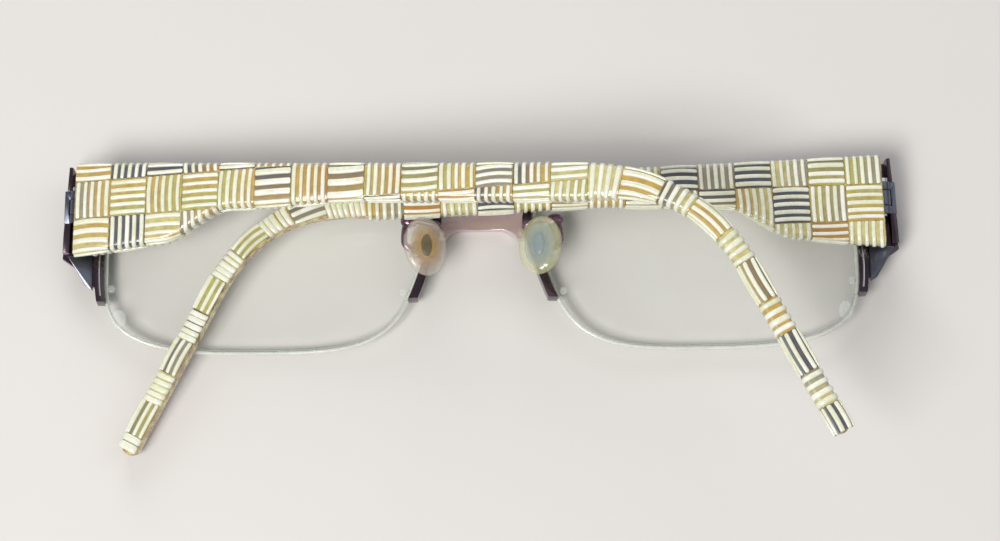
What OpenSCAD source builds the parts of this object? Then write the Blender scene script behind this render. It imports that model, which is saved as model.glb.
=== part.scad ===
// Folding half-rim reading glasses, lying on the front of the frame with the wearer's side up.
// +X is the wearer's right, +Y the brow side, +Z the wearer's side. The origin is the middle of
// the flat on the front of the bridge, which rests on the table. Both temples are folded, and the
// left one lies on the right one.

/* [Lenses] */
// Width of one lens
lens_w = 50.4; // [46:0.2:54]
// Height of one lens
lens_h = 27; // [24:0.5:30]
// Distance between the lenses
bridge_gap = 20; // [17:0.5:22]
// Distance from the bridge's middle down to the lens centre line
lens_drop = 9.6; // [8:0.1:11]
// Radius of the lens's front surface
lens_base_r = 140; // [120:5:180]
// Lens thickness
lens_t = 2; // [1.8:0.1:2.4]
// Squareness of the lens outline on the nasal side
nasal_power = 4; // [3:0.2:5]
// Squareness of the lens outline on the temporal side
temporal_power = 3.4; // [3:0.2:5]
// Slope of the lens's nasal side
nasal_slope = 0.36; // [0:0.02:0.4]

/* [Rims and cord] */
// Width of the rim wire in the plane of the lens
rim_w = 1.4; // [1.2:0.1:1.8]
// How far the rim stands proud of each lens face
rim_proud = 0.35; // [0.2:0.05:0.5]
// Gap between the rim and the lens edge
rim_gap = 0.12; // [0.08:0.01:0.2]
// How far below the lens centre line the rim's two tails end
rim_tail = 5.4; // [4:0.2:7]
// Diameter of the nylon cord
cord_d = 0.6; // [0.5:0.05:0.7]

/* [Bridge] */
// Height of the bridge bar
bridge_h = 5.4; // [4:0.2:6]
// Thickness of the bridge bar
bridge_t = 1.4; // [1:0.1:1.8]
// Radius to which the bridge is bowed
bridge_r = 20; // [18:1:26]
// Width of the arch under the bridge
arch_w = 12.2; // [11.8:0.1:12.6]

/* [Endpieces] */
// Width of the front over both endpieces
front_w = 134.4; // [130:0.4:140]
// Thickness of the endpiece plate
endpiece_t = 1.05; // [0.9:0.05:1.3]

/* [Temples] */
// Distance from the middle of the frame to each hinge axis
hinge_x = 64.5; // [64:0.1:65.5]
// Height of the hinge axis above the table
hinge_z = 7; // [6.8:0.1:7.5]
// Slant of the hinge axis off the plane of the front
panto = 9.5; // [8:0.5:10]
// Lean of the hinge axis towards the middle of the frame
hinge_lean = 2.6; // [1:0.2:4]
// Thickness of a temple
temple_t = 3.6; // [3.2:0.1:4]
// Height of the temple at the hinge
temple_end_h = 14.9; // [13:0.1:16]
// Height of the temple's slender arm
temple_arm_h = 5.8; // [5:0.1:7]
// Width of the ear piece
ear_w = 3.4; // [3.2:0.1:4.5]
// Length of the straight part of the temple
temple_straight = 82.5; // [80:0.5:86]
// Outer radius of the bend over the ear
ear_r = 31; // [28:1:34]
// Angle of the bend over the ear
ear_angle = 59; // [55:1:62]
// Length of the ear piece past the bend
ear_len = 29.2; // [24:0.4:32]
// Angle of the folded left temple above the plane of the front
rest_left = 12; // [11:0.5:14]
// Angle of the folded right temple above the plane of the front
rest_right = 0; // [0:0.1:0.5]

/* [Hinges] */
// Radius of a hinge barrel
barrel_r = 1.35; // [1.2:0.05:1.5]
// Radius of the hinge screw
screw_r = 0.6; // [0.5:0.05:0.7]
// Height of the whole hinge
hinge_h = 5.2; // [4.8:0.1:6]

/* [Nose pads] */
// Width of a nose pad
pad_w = 7.2; // [6.4:0.2:8]
// Length of a nose pad
pad_l = 9.6; // [9:0.2:11]
// Distance from the middle of the frame to each pad's pivot
pad_x = 9.8; // [9:0.1:10.5]
// Distance from the bridge's middle down to the pads' pivots
pad_drop = 7.6; // [7:0.1:9]
// Height of the pads' pivots above the table
pad_z = 6.9; // [6.8:0.1:7.4]
// Tilt of the pads towards the nose
pad_tilt = 22; // [15:1:30]
// Radius of the pad arm wire
pad_wire_r = 0.55; // [0.45:0.05:0.7]

/* [Hidden] */

$fn = 64;
BIG = 60;                               // reach of a cutting block
lens_cx = (bridge_gap + lens_w) / 2;    // lens centre from the middle of the frame
groove_depth = 0.5;                     // groove round the lens edge
groove_h = cord_d + 0.06;
cord_play = 0.05;                       // gap between the cord and the groove's floor
cord_proud = 0.3;                       // how far the cord stands out of the groove
flat_depth = 0.25;                      // depth of the flat on the bridge's front
arch_top = -bridge_h / 2;               // crest of the arch under the bridge
arch_corner = 3.2;
leg_h = 2;                              // length of the bridge's legs beside the arch
endpiece_z = 3;                         // front face of the endpiece plate
flange_gap = 1.15;                      // from the hinge axis to the flange's inner face
flange_top = 6.5;                       // reach of the flange above and below the hinge centre
flange_bottom = -7.3;
flange_rim = -0.12;                     // rear edge of the flange from the hinge axis
temple_start = 0.25;                    // end of the covering from the hinge axis
temple_top = 6.7;                       // straight upper edge of the temple from the hinge centre
temple_inner = -0.6;                    // inner face of the covering from the hinge axis
end_taper = 0.16;                       // how fast the broad end narrows
end_l = 14;                             // length of the broad end
neck_l = 12;                            // length over which it runs into the arm
arm_extra = 1.2;                        // extra height of the arm at the neck
arm_even = 48;                          // where the arm has its even height
ear_blend = 22;                         // length over which the arm narrows to the ear piece
knuckle_gap = 0.08;                     // gap between neighbouring barrels
run_gap = 0.05;                         // running clearance of the hinge screw
seat_gap = 0.02;                        // clearance of a screw in its own body
core_w = 1.8;                           // width of the steel core strip
core_t = 0.8;
core_z = 0.7;                           // inner face of the core strip from the hinge axis
leaf_l = 9;                             // length of the hinge's temple leaf
leaf_t = 0.9;
barrel_clear = 0.15;                    // room round the barrels in the covering
bend_steps = 14;
outline_steps = 72;
pad_screw_r = 0.5;
pad_base = 1;                           // back of the pad from its pivot
pad_t = 2;                              // thickness of the pad in the middle
insert_w = 3.2;
insert_l = 5;
insert_t = 0.5;
tab_t = 0.9;                            // thickness of the insert's tab
tab_h = 2.2;
cheek_t = 0.8;                          // thickness of the pad box's cheeks
box_floor = -1.05;                      // inside floor of the pad box from the pivot
box_floor_t = 0.6;
box_gap = 0.08;                         // gap between the tab and the pad box's cheeks
box_half = tab_t / 2 + box_gap + cheek_t;

// ---------------------------------------------------------------- curves

function smooth(t) = let (c = min(max(t, 0), 1)) c * c * (3 - 2 * c);
function mix(a, b, t) = a + (b - a) * t;

// Point of the right lens's outline at the angle t, about the lens centre: a squared ellipse
// whose nasal side slopes outwards going down.
function lens_point(t) =
    let (a = lens_w / 2, b = lens_h / 2, f = atan2(b * sin(t), a * cos(t)),
         power = cos(f) < 0 ? nasal_power : temporal_power,
         r = pow(pow(abs(cos(f)) / a, power) + pow(abs(sin(f)) / b, power), -1 / power),
         x = r * cos(f), y = r * sin(f))
    [x < 0 ? x + nasal_slope * y * x / a : x, y];
function lens_normal(t) =
    let (d = lens_point(t + 0.5) - lens_point(t - 0.5)) [d[1], -d[0]] / norm(d);
function lens_outline(grow) =
    [for (i = [0 : outline_steps - 1])
        let (t = 360 * i / outline_steps) lens_point(t) + grow * lens_normal(t)];

// Upper edge of the temple and the direction across it, at the distance s along the temple.
bend_len = ear_r * ear_angle * PI / 180;
temple_len = temple_straight + bend_len + ear_len;
function bend_angle(s) = min(max((s - temple_straight) / bend_len, 0), 1) * ear_angle;
function across(s) = let (a = bend_angle(s)) [-sin(a), -cos(a)];
function upper_edge(s) =
    let (a = bend_angle(s), past = max(s - temple_straight - bend_len, 0))
    [min(s, temple_straight) + ear_r * sin(a) + past * cos(a),
     temple_top - ear_r * (1 - cos(a)) - past * sin(a)];
// Height of the temple at the distance s.
function temple_h(s) =
    s < end_l ? temple_end_h - end_taper * s
    : s < end_l + neck_l
      ? mix(temple_end_h - end_taper * end_l, temple_arm_h + arm_extra,
            smooth((s - end_l) / neck_l))
    : s < arm_even
      ? mix(temple_arm_h + arm_extra, temple_arm_h,
            smooth((s - end_l - neck_l) / (arm_even - end_l - neck_l)))
    : mix(temple_arm_h, ear_w, smooth((s - temple_straight + 2) / ear_blend));
// Stations along the temple from one distance to another.
function stations(from, to) =
    concat([for (s = [from : 1.5 : end_l + neck_l]) s],
           [for (s = [end_l + neck_l + 4 : 6 : temple_straight - 1]) s],
           [for (i = [0 : bend_steps]) temple_straight + bend_len * i / bend_steps],
           [for (s = [temple_straight + bend_len + ear_len / 3 : ear_len / 3 : to - 0.1]) s],
           [to]);
// Strip that follows the temple, between two shares of its height.
function temple_strip(from, to, share_a, share_b) =
    let (s = stations(from, to), n = len(s))
    concat([for (i = [0 : n - 1]) upper_edge(s[i]) + across(s[i]) * temple_h(s[i]) * share_a],
           [for (i = [n - 1 : -1 : 0])
               upper_edge(s[i]) + across(s[i]) * temple_h(s[i]) * share_b]);
// Line of the steel core: through the hinge at the end, then along the middle of the arm.
function core_line(s) =
    let (middle = upper_edge(s) + across(s) * temple_h(s) / 2)
    s < arm_even ? [middle[0], mix(0, middle[1], smooth(s / arm_even))] : middle;

// Round wire through points.
function wire_frames(p) =
    [for (i = [0 : len(p) - 1])
        let (a = p[max(i - 1, 0)], b = p[min(i + 1, len(p) - 1)], d = (b - a) / norm(b - a),
             side = cross(d, [0, 1, 0.2]), u = side / norm(side)) [u, cross(d, u)]];
module wire(p, r, sides = 10) {
    frames = wire_frames(p);
    n = len(p);
    rings = [for (i = [0 : n - 1]) for (k = [0 : sides - 1])
        let (t = 360 * k / sides) p[i] + r * (cos(t) * frames[i][0] + sin(t) * frames[i][1])];
    walls = [for (i = [0 : n - 2]) for (k = [0 : sides - 1]) for (half = [0, 1])
        let (j = (k + 1) % sides, a = i * sides, b = a + sides)
        half == 0 ? [a + k, b + k, b + j] : [a + k, b + j, a + j]];
    caps = [[for (k = [0 : sides - 1]) k], [for (k = [sides - 1 : -1 : 0]) (n - 1) * sides + k]];
    polyhedron(rings, concat(walls, caps));
}

// ---------------------------------------------------------------- places

module side(name) {
    if (name == "left") mirror([1, 0, 0]) children(); else children();
}
// The lens centre of the right side.
module at_lens() { translate([lens_cx, -lens_drop, 0]) children(); }
// The hinge of the right side: X runs along the folded temple, Y up the hinge axis, and Z
// away from the lenses. rest turns the temple about the hinge axis.
module at_hinge(rest = 0) {
    mirror([1, 0, 0])
        translate([-hinge_x, 0, hinge_z])
            rotate([0, 0, -hinge_lean])
                rotate([panto, 0, 0])
                    rotate([0, -rest, 0])
                        children();
}
// The pad pivot of the right side: X across the pad, Y along it, and Z out of its face.
module at_pad() {
    translate([pad_x, -pad_drop, pad_z]) rotate([0, -pad_tilt, 0]) children();
}
// What lies between two depths under the lens's front surface.
module lens_shell(front, back) {
    translate([0, 0, lens_base_r])
        difference() {
            sphere(r = lens_base_r - front, $fn = 128);
            sphere(r = lens_base_r - back, $fn = 128);
        }
}
// A ring round the lens between two distances from its edge.
module lens_ring(inside, outside, front, back) {
    intersection() {
        lens_shell(front, back);
        linear_extrude(height = 12)
            difference() {
                polygon(lens_outline(outside));
                polygon(lens_outline(inside));
            }
    }
}
module above_tails() { translate([-BIG, -rim_tail, -1]) cube([2 * BIG, BIG, 20]); }
module below_tails() { translate([-BIG, -BIG - rim_tail - 0.03, -1]) cube([2 * BIG, BIG, 20]); }
module lying_cylinder(r, from, to) {
    translate([0, from, 0]) rotate([-90, 0, 0]) cylinder(r = r, h = to - from);
}

// ---------------------------------------------------------------- front

module bridge() {
    color([0.66, 0.55, 0.56])
        difference() {
            intersection() {
                translate([0, 0, bridge_r - flat_depth])
                    rotate([90, 0, 0])
                        difference() {
                            cylinder(r = bridge_r, h = BIG, center = true, $fn = 96);
                            cylinder(r = bridge_r - bridge_t, h = BIG + 2, center = true, $fn = 96);
                        }
                linear_extrude(height = 6) bridge_plan();
            }
            for (s = ["left", "right"])
                side(s) at_lens()
                    translate([0, 0, -1]) linear_extrude(height = 12)
                        polygon(lens_outline(rim_gap + rim_w));
        }
}
module bridge_plan() {
    difference() {
        translate([-10, arch_top - leg_h]) square([20, bridge_h + leg_h]);
        translate([-arch_w / 2, arch_top - 8]) square([arch_w, 8 - arch_corner]);
        translate([-arch_w / 2 + arch_corner, arch_top - 8])
            square([arch_w - 2 * arch_corner, 8]);
        for (x = [-1, 1])
            translate([x * (arch_w / 2 - arch_corner), arch_top - arch_corner])
                circle(r = arch_corner);
    }
}

module lens(s) {
    groove_from = (lens_t - groove_h) / 2;
    color([0.85, 0.92, 0.88, 0.35])
        side(s) at_lens()
            difference() {
                intersection() {
                    lens_shell(0, lens_t);
                    linear_extrude(height = 12) polygon(lens_outline(0));
                }
                lens_ring(-groove_depth, 1, groove_from, groove_from + groove_h);
            }
}
module half_rim(s) {
    color([0.33, 0.24, 0.30])
        side(s) at_lens()
            intersection() {
                lens_ring(rim_gap, rim_gap + rim_w, -rim_proud, lens_t + rim_proud);
                above_tails();
            }
}
module rim_liner(s) {
    color([0.9, 0.9, 0.88])
        side(s) at_lens()
            intersection() {
                lens_ring(cord_play - groove_depth, rim_gap,
                          (lens_t - cord_d) / 2, (lens_t + cord_d) / 2);
                above_tails();
            }
}
module nylon_cord(s) {
    color([0.9, 0.93, 0.9])
        side(s) at_lens()
            intersection() {
                lens_ring(cord_play - groove_depth, cord_proud,
                          (lens_t - cord_d) / 2, (lens_t + cord_d) / 2);
                below_tails();
            }
}
// Melted ends of the cord, on the wearer's side of the lens beside each tail.
module cord_anchors(s) {
    anchor_r = 0.6;
    inset = 1.1;
    color([0.9, 0.93, 0.9])
        side(s) at_lens()
            for (t = [-14, 180 + 20]) {
                p = lens_point(t) - inset * lens_normal(t);
                z = lens_base_r - sqrt(pow(lens_base_r - lens_t, 2) - p * p);
                translate([p[0], p[1], z + 0.12]) cylinder(r = anchor_r, h = 0.5);
            }
}

// Plate beside the rim, and the flange that it is folded up into beside the temple.
module endpiece(s) {
    edge_x = front_w / 2;
    plan = [[58, -14], [edge_x - 5.5, -12.7], [edge_x - 3.5, -11.4], [edge_x - 3.6, -10.2],
            [edge_x, -7.6], [edge_x - 1.35, 7], [58, 5]];
    color([0.33, 0.24, 0.30])
        side(s) difference() {
            union() {
                translate([0, 0, endpiece_z])
                    linear_extrude(height = endpiece_t) polygon(plan);
                intersection() {
                    at_hinge()
                        translate([-flange_gap - endpiece_t, flange_bottom, -6])
                            cube([endpiece_t, flange_top - flange_bottom, 6 + flange_rim]);
                    translate([50, -20, endpiece_z]) cube([30, 40, 10]);
                    linear_extrude(height = 20) polygon(plan);
                }
            }
            at_lens()
                translate([0, 0, -1]) linear_extrude(height = 12)
                    polygon(lens_outline(rim_gap + rim_w));
            at_hinge() hinge_front_seat();
        }
}

// ---------------------------------------------------------------- hinges

leaf_drop = 2.45;                       // how far the front leaf reaches down the flange
module hinge_front_seat() {
    translate([-flange_gap - endpiece_t - 0.1, -hinge_h / 2, -leaf_drop])
        cube([endpiece_t + 0.2, hinge_h, leaf_drop + 1]);
}
module hinge_front_leaf(s) {
    knuckle = hinge_h / 4;
    color([0.50, 0.54, 0.60])
        side(s) at_hinge()
            difference() {
                union() {
                    translate([-flange_gap - endpiece_t, -hinge_h / 2, -leaf_drop])
                        cube([endpiece_t + 0.01, hinge_h, leaf_drop + flange_rim]);
                    for (y = [-hinge_h / 2, hinge_h / 2 - knuckle]) {
                        lying_cylinder(barrel_r, y, y + knuckle);
                        translate([-flange_gap - 0.01, y, -leaf_drop])
                            cube([flange_gap - 0.3, knuckle, leaf_drop - 0.3]);
                    }
                }
                lying_cylinder(screw_r + seat_gap, -hinge_h, hinge_h);
                lying_cylinder(barrel_r + barrel_clear, -knuckle, knuckle);
            }
}
module hinge_screw(s) {
    head_h = 0.6;
    head_r = 1.05;
    slot_w = 0.3;
    color([0.45, 0.46, 0.50])
        side(s) at_hinge()
            difference() {
                union() {
                    lying_cylinder(screw_r, -hinge_h / 2 - 0.3, hinge_h / 2 + 0.1);
                    lying_cylinder(head_r, hinge_h / 2 + 0.02, hinge_h / 2 + head_h);
                }
                translate([-2, hinge_h / 2 + head_h - 0.3, -slot_w / 2])
                    cube([4, 1, slot_w]);
            }
}
module temple_leaf_solid() {
    knuckle = hinge_h / 2 - 2 * knuckle_gap;
    lying_cylinder(barrel_r, -knuckle / 2, knuckle / 2);
    translate([0, -knuckle / 2, core_z - leaf_t]) cube([3, knuckle, leaf_t]);
    translate([2, -2.3, core_z - leaf_t]) cube([leaf_l - 2, 4.6, leaf_t]);
}
module hinge_temple_leaf(s) {
    color([0.50, 0.54, 0.60])
        side(s) at_hinge(s == "left" ? rest_left : rest_right)
            difference() {
                temple_leaf_solid();
                lying_cylinder(screw_r + run_gap, -hinge_h, hinge_h);
            }
}

// ---------------------------------------------------------------- temples

module core_solid() {
    core_from = 3;
    core_to = temple_len - 6;
    s = stations(core_from, core_to);
    n = len(s);
    translate([0, 0, core_z])
        linear_extrude(height = core_t)
            polygon(concat([for (i = [0 : n - 1]) core_line(s[i]) - across(s[i]) * core_w / 2],
                           [for (i = [n - 1 : -1 : 0])
                               core_line(s[i]) + across(s[i]) * core_w / 2]));
}
module temple_core(s) {
    color([0.60, 0.61, 0.63])
        side(s) at_hinge(s == "left" ? rest_left : rest_right) core_solid();
}
module temple_covering(s) {
    color([0.86, 0.84, 0.70])
        side(s) at_hinge(s == "left" ? rest_left : rest_right)
            difference() {
                translate([0, 0, temple_inner])
                    linear_extrude(height = temple_t)
                        polygon(temple_strip(temple_start, temple_len, 0, 1));
                lying_cylinder(barrel_r + barrel_clear, -hinge_h / 2 - 0.5, hinge_h / 2 + 0.8);
                core_solid();
                temple_leaf_solid();
            }
}

// ---------------------------------------------------------------- nose pads

// Wire that stands square on the rim's nasal side, arches outwards over the lens, and comes
// back to the side of the pad box.
module pad_arm(s) {
    stub = 0.2;
    rise = 0.4;
    bow = 4.2;
    steps = 12;
    foot = [7.4, -3.2];
    rim_back = lens_base_r - lens_t - rim_proud;
    reach = norm(foot - [lens_cx, -lens_drop]);
    base = [foot[0], foot[1], lens_base_r - sqrt(rim_back * rim_back - reach * reach) + 0.1];
    start = base + [0, 0, stub];
    inwards = [cos(pad_tilt), 0, sin(pad_tilt)];
    upwards = [-sin(pad_tilt), 0, cos(pad_tilt)];
    finish = [pad_x, -pad_drop, pad_z] + inwards * (box_half + 0.05) - upwards;
    arch = [for (i = [0 : steps])
        let (t = i / steps, u = 1 - t)
        u * u * u * start + 3 * u * u * t * (start + [0, 0, rise])
        + 3 * u * t * t * (finish + bow * inwards) + t * t * t * finish];
    color([0.36, 0.26, 0.32])
        side(s) wire(concat([base], arch), pad_wire_r);
}
module pad_box(s) {
    color([0.55, 0.52, 0.54])
        side(s) at_pad()
            difference() {
                translate([-box_half, -tab_h / 2, box_floor - box_floor_t])
                    cube([2 * box_half, tab_h, 0.6 - box_floor + box_floor_t]);
                translate([-tab_t / 2 - box_gap, -BIG / 2, box_floor])
                    cube([tab_t + 2 * box_gap, BIG, 5]);
                rotate([0, 90, 0]) cylinder(r = pad_screw_r + seat_gap, h = 10, center = true);
            }
}
module pad_screw(s) {
    color([0.62, 0.60, 0.62])
        side(s) at_pad() rotate([0, -90, 0])
            difference() {
                union() {
                    translate([0, 0, -box_half])
                        cylinder(r = pad_screw_r, h = 2 * box_half + 0.1);
                    translate([0, 0, box_half + 0.02]) cylinder(r = 0.8, h = 0.5);
                }
                translate([-0.12, -2, box_half + 0.3]) cube([0.24, 4, 1]);
            }
}
module insert_solid() {
    translate([-tab_t / 2, -tab_h / 2, -0.7]) cube([tab_t, tab_h, pad_base + 0.71]);
    translate([-insert_w / 2, -insert_l / 2, pad_base]) cube([insert_w, insert_l, insert_t]);
}
module pad_insert(s) {
    color([0.32, 0.38, 0.36])
        side(s) at_pad()
            difference() {
                insert_solid();
                rotate([0, 90, 0]) cylinder(r = pad_screw_r + run_gap, h = 10, center = true);
            }
}
module nose_pad(s) {
    crown_r = 9;
    color([0.93, 0.88, 0.72, 0.6])
        side(s) at_pad()
            difference() {
                intersection() {
                    translate([0, 0, pad_base])
                        linear_extrude(height = pad_t)
                            polygon([for (i = [0 : 47])
                                [pad_w / 2 * cos(i * 7.5), pad_l / 2 * sin(i * 7.5)]]);
                    translate([0, 0, pad_base + pad_t - crown_r]) sphere(r = crown_r);
                }
                insert_solid();
            }
}

bridge();
half_rim("left");  // half_rim_left
half_rim("right");  // half_rim_right
rim_liner("left");  // rim_liner_left
rim_liner("right");  // rim_liner_right
lens("left");  // lens_left
lens("right");  // lens_right
nylon_cord("left");  // nylon_cord_left
nylon_cord("right");  // nylon_cord_right
cord_anchors("left");  // cord_anchors_left
cord_anchors("right");  // cord_anchors_right
endpiece("left");  // endpiece_left
endpiece("right");  // endpiece_right
hinge_front_leaf("left");  // hinge_front_leaf_left
hinge_front_leaf("right");  // hinge_front_leaf_right
hinge_screw("left");  // hinge_screw_left
hinge_screw("right");  // hinge_screw_right
hinge_temple_leaf("left");  // hinge_temple_leaf_left
hinge_temple_leaf("right");  // hinge_temple_leaf_right
temple_core("left");  // temple_core_left
temple_core("right");  // temple_core_right
temple_covering("left");  // temple_covering_left
temple_covering("right");  // temple_covering_right
pad_arm("left");  // pad_arm_left
pad_arm("right");  // pad_arm_right
pad_box("left");  // pad_box_left
pad_box("right");  // pad_box_right
pad_screw("left");  // pad_screw_left
pad_screw("right");  // pad_screw_right
nose_pad("left");  // nose_pad_left
nose_pad("right");  // nose_pad_right
pad_insert("left");  // pad_insert_left
pad_insert("right");  // pad_insert_right
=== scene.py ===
"""Folding half-rim reading glasses with basket-weave temples, lying face down and folded.

Sizes in the classes are millimetres in the frame of the CAD model: +X is the wearer's right,
+Y the brow side and +Z the wearer's side. They become metres where a mesh is made.
"""

import logging
import math
import random
from contextlib import contextmanager
from dataclasses import dataclass, field
from enum import Enum
from typing import Any, Callable, Iterator, Sequence

import bpy
import numpy as np
from mathutils import Matrix, Vector


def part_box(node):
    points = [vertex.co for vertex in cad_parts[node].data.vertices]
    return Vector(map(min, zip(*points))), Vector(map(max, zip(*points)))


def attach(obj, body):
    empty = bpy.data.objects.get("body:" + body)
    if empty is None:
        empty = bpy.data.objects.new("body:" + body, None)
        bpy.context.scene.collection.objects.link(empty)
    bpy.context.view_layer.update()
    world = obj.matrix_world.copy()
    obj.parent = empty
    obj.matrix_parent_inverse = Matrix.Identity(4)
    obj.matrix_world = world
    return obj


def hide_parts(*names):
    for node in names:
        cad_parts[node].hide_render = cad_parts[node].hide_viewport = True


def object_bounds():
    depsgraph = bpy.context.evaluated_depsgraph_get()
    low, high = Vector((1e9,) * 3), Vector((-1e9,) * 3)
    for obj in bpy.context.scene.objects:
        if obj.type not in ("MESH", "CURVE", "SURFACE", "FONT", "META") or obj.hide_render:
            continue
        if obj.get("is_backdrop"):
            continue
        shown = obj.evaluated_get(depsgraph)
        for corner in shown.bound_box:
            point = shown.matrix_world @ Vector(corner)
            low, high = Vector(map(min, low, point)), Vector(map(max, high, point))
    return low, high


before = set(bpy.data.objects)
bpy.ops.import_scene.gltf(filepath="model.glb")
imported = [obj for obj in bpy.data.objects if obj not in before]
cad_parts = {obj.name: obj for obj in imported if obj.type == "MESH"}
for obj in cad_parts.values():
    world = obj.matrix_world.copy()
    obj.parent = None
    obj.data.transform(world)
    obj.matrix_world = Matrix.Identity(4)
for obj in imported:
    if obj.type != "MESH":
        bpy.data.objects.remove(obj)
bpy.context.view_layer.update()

LOG = logging.getLogger("glasses")
MM = 0.001
Colour = tuple[float, float, float]
Triple = tuple[float, float, float]
Piece = bpy.types.Object
Material = bpy.types.Material
Socket = bpy.types.NodeSocket


# ---------------- choices


class Side(Enum):
    """The wearer's side that a piece belongs to, with the sign of its X."""

    LEFT = -1
    RIGHT = 1

    @property
    def word(self) -> str:
        """The side's name as the CAD nodes spell it."""
        return self.name.lower()


class Run(Enum):
    """Which way the ribs of one block of the weave run."""

    ALONG = "along"
    ACROSS = "across"


class Tint(Enum):
    """Colours in the grooves between the ribs."""

    SLATE = (0.060, 0.068, 0.098)
    OCHRE = (0.50, 0.33, 0.065)
    AMBER = (0.42, 0.20, 0.035)
    OLIVE = (0.41, 0.38, 0.10)
    STRAW = (0.55, 0.49, 0.20)
    ASH = (0.27, 0.25, 0.19)


# ---------------- shader tools


class Value:
    """A node socket that adds Math nodes when it is used in an expression."""

    def __init__(self, recipe: "Recipe", socket: Socket) -> None:
        """Wraps a socket.

        Args:
            recipe: The material recipe that the socket's node belongs to.
            socket: The output socket.
        """
        self.recipe = recipe
        self.socket = socket

    def _maths(self, operation: str, *terms: Any) -> "Value":
        """Adds one Math node and returns its output."""
        inputs = dict(enumerate(terms))
        return Value(self.recipe, self.recipe.node("Math", {"operation": operation}, inputs))

    def __add__(self, other: Any) -> "Value":
        """Sum of two values."""
        return self._maths("ADD", self, other)

    def __sub__(self, other: Any) -> "Value":
        """Difference of two values."""
        return self._maths("SUBTRACT", self, other)

    def __rsub__(self, other: Any) -> "Value":
        """Difference of a number and this value."""
        return self._maths("SUBTRACT", other, self)

    def __mul__(self, other: Any) -> "Value":
        """Product of two values."""
        return self._maths("MULTIPLY", self, other)

    def clamped(self) -> "Value":
        """This value held between 0 and 1."""
        low = self._maths("MAXIMUM", self, 0.0)
        return low._maths("MINIMUM", low, 1.0)

    __radd__ = __add__
    __rmul__ = __mul__


class Recipe:
    """One material's node tree, built node by node."""

    def __init__(self, name: str) -> None:
        """Starts an empty material.

        Args:
            name: The material's name.
        """
        self.material = bpy.data.materials.new(name)
        self.material.use_nodes = True
        self.tree = self.material.node_tree
        self.tree.nodes.clear()
        self.coords = self.node("TexCoord", out="Object")

    def node(self, kind: str, settings: dict | None = None, inputs: dict | None = None,
             out: int | str = 0) -> Socket:
        """Adds one node, with its settings first and then its inputs.

        Args:
            kind: The node's type without its ShaderNode prefix.
            settings: Attributes of the node. The key stops holds a ramp's positions and colours.
            inputs: Values or links by socket index or name.
            out: The output that is returned.

        Returns:
            The output socket.
        """
        node = self.tree.nodes.new("ShaderNode" + kind)
        for key, value in (settings or {}).items():
            if key == "stops":
                ramp = node.color_ramp.elements
                while len(ramp) < len(value):
                    ramp.new(0.5)
                for element, (position, colour) in zip(ramp, value):
                    element.position = position
                    element.color = (*colour, 1.0)
            else:
                setattr(node, key, value)
        for key, value in (inputs or {}).items():
            if isinstance(value, Value):
                value = value.socket
            if isinstance(value, Socket):
                self.tree.links.new(value, node.inputs[key])
            else:
                node.inputs[key].default_value = value
        return node.outputs[out]

    def noise(self, scale: float, detail: float = 3.0, stretch: Sequence[float] = (1, 1, 1)) -> Value:
        """Noise over the piece, with features of about 1/scale metres.

        Args:
            scale: Features per metre.
            detail: Octaves.
            stretch: Factor on each axis of the coordinates.

        Returns:
            A value about 0.5.
        """
        where = self.node("Mapping", None, {"Vector": self.coords, "Scale": tuple(stretch)})
        return Value(self, self.node("TexNoise", None,
                                     {"Vector": where, "Scale": scale, "Detail": detail}))

    def mix(self, share: Any, first: Any, second: Any) -> Socket:
        """Mixes two colours.

        Args:
            share: The second colour's share.
            first: A colour or a colour socket.
            second: A colour or a colour socket.

        Returns:
            The mixed colour's socket.
        """
        def full(colour: Any) -> Any:
            return (*colour, 1.0) if isinstance(colour, tuple) else colour
        return self.node("Mix", {"data_type": "RGBA"}, {0: share, 6: full(first), 7: full(second)}, 2)

    def bump(self, height: Value, depth: float, strength: float = 1.0) -> Socket:
        """Normal for a height pattern.

        Args:
            height: The pattern, from 0 to 1.
            depth: Its depth in metres.
            strength: The Bump node's strength.

        Returns:
            The normal's socket.
        """
        return self.node("Bump", None, {"Strength": strength, "Distance": depth, "Height": height})

    def coated(self, colour: Socket, roughness: Value, coat: float, coat_roughness: float,
               normal: Socket, more: dict | None = None) -> Material:
        """Completes the material with one coated surface.

        Args:
            colour: Its colour.
            roughness: Its roughness, which is held between 0 and 1.
            coat: The coat's weight.
            coat_roughness: The coat's roughness.
            normal: Its normal.
            more: Other inputs of the shader by name.

        Returns:
            The material.
        """
        inputs = {"Base Color": colour, "Roughness": roughness.clamped(), "Coat Weight": coat,
                  "Coat Roughness": coat_roughness, "Normal": normal}
        return self.done(self.node("BsdfPrincipled", None, {**inputs, **(more or {})}))

    def done(self, shader: Socket) -> Material:
        """Completes the material with its shader.

        Args:
            shader: The shader's output.

        Returns:
            The material.
        """
        output = self.tree.nodes.new("ShaderNodeOutputMaterial")
        self.tree.links.new(shader, output.inputs["Surface"])
        return self.material


# ---------------- finishes


@dataclass(frozen=True)
class Plating:
    """Glossy plated or lacquered metal with faint drawing marks and cloudy wear."""

    name: str
    base: Colour
    worn: Colour
    roughness: float = 0.22
    metallic: float = 0.85
    coat: float = 0.5
    grain: float = 900.0

    def make(self) -> Material:
        """Builds the material.

        Returns:
            The material.
        """
        r = Recipe(self.name)
        cloud = r.noise(self.grain * 0.35, 4)
        fine = r.noise(self.grain * 4, 2, (1, 1, 6))
        return r.coated(r.mix(cloud * 0.9, self.base, self.worn),
                        cloud * 0.12 + fine * 0.1 + (self.roughness - 0.11),
                        self.coat, 0.08, r.bump(fine, 0.00002, 0.25), {"Metallic": self.metallic})


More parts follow.
